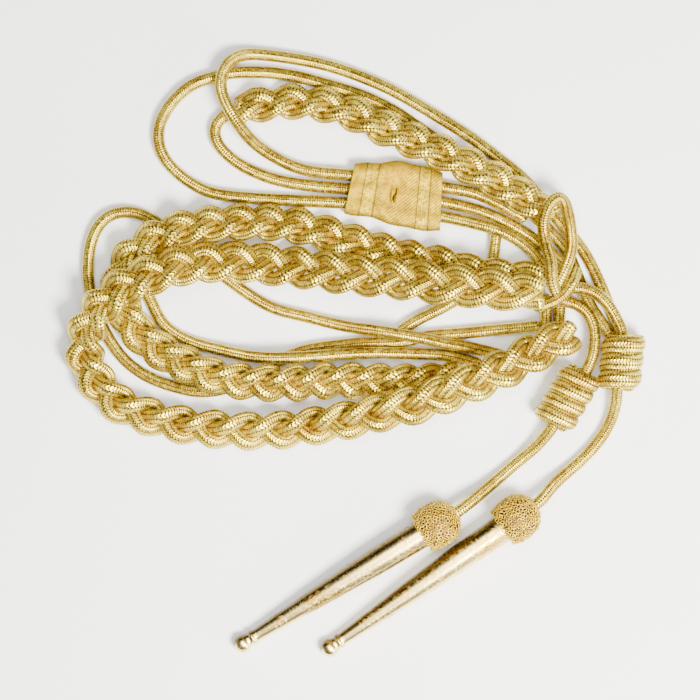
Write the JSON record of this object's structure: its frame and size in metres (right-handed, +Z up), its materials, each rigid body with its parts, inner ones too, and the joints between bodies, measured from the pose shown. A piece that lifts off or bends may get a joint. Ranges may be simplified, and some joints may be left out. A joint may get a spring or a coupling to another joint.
{
  "type": "aiguillette",
  "caption": "Gold wire cord aiguillette with flat plaits, plain cord loops, a buttonholed lace tab, barrel knots, and pendant cords ending in purl caps and tapered metal tags.",
  "frame": {"origin": "middle of the box of everything but the plain cords, at the surface that the part lies on", "axes": "+Z up off the surface; the barrel knots lie towards +X, the plaits' turn towards -X, the shoulder loops towards +Y and the tags towards -Y"},
  "size_m": [0.2872, 0.3052, 0.0327],
  "materials": {
    "plain_cord": "round braided gold wire cord, satin metallic",
    "plaited_cord": "braided gold wire cord pressed a little flat in the plait",
    "bound_cord": "braided gold wire cord drawn tight at the junction",
    "knot_cord": "gold wire cord wound close in flat bands",
    "woven_lace": "twill woven gold lace with a satin sheen",
    "purl_cap": "looped gold purl wire, densely pitted",
    "tag_metal": "polished pale gilt metal"
  },
  "bodies": {
    "root": {"tag_1": "tag_metal", "cap_1": "purl_cap", "knot_1": "knot_cord", "pendant_cord_1": "plain_cord", "tag_2": "tag_metal", "cap_2": "purl_cap", "knot_2": "knot_cord", "pendant_cord_2": "plain_cord", "shoulder_cord_outer": "plain_cord", "shoulder_cord_middle": "plain_cord", "shoulder_cord_inner": "plain_cord", "arm_cord_long": "plain_cord", "arm_cord_short": "plain_cord", "arm_cord_cross": "plain_cord", "junction_loop": "bound_cord", "junction_tail": "bound_cord", "junction_link_1": "bound_cord", "junction_link_2": "bound_cord", "woven_tab": "woven_lace", "front_plait_strand_1": "plaited_cord", "front_plait_strand_2": "plaited_cord", "front_plait_strand_3": "plaited_cord", "back_plait_strand_1": "plaited_cord", "back_plait_strand_2": "plaited_cord", "back_plait_strand_3": "plaited_cord", "shoulder_plait_strand_1": "plaited_cord", "shoulder_plait_strand_2": "plaited_cord", "shoulder_plait_strand_3": "plaited_cord"}
  },
  "joints": []
}
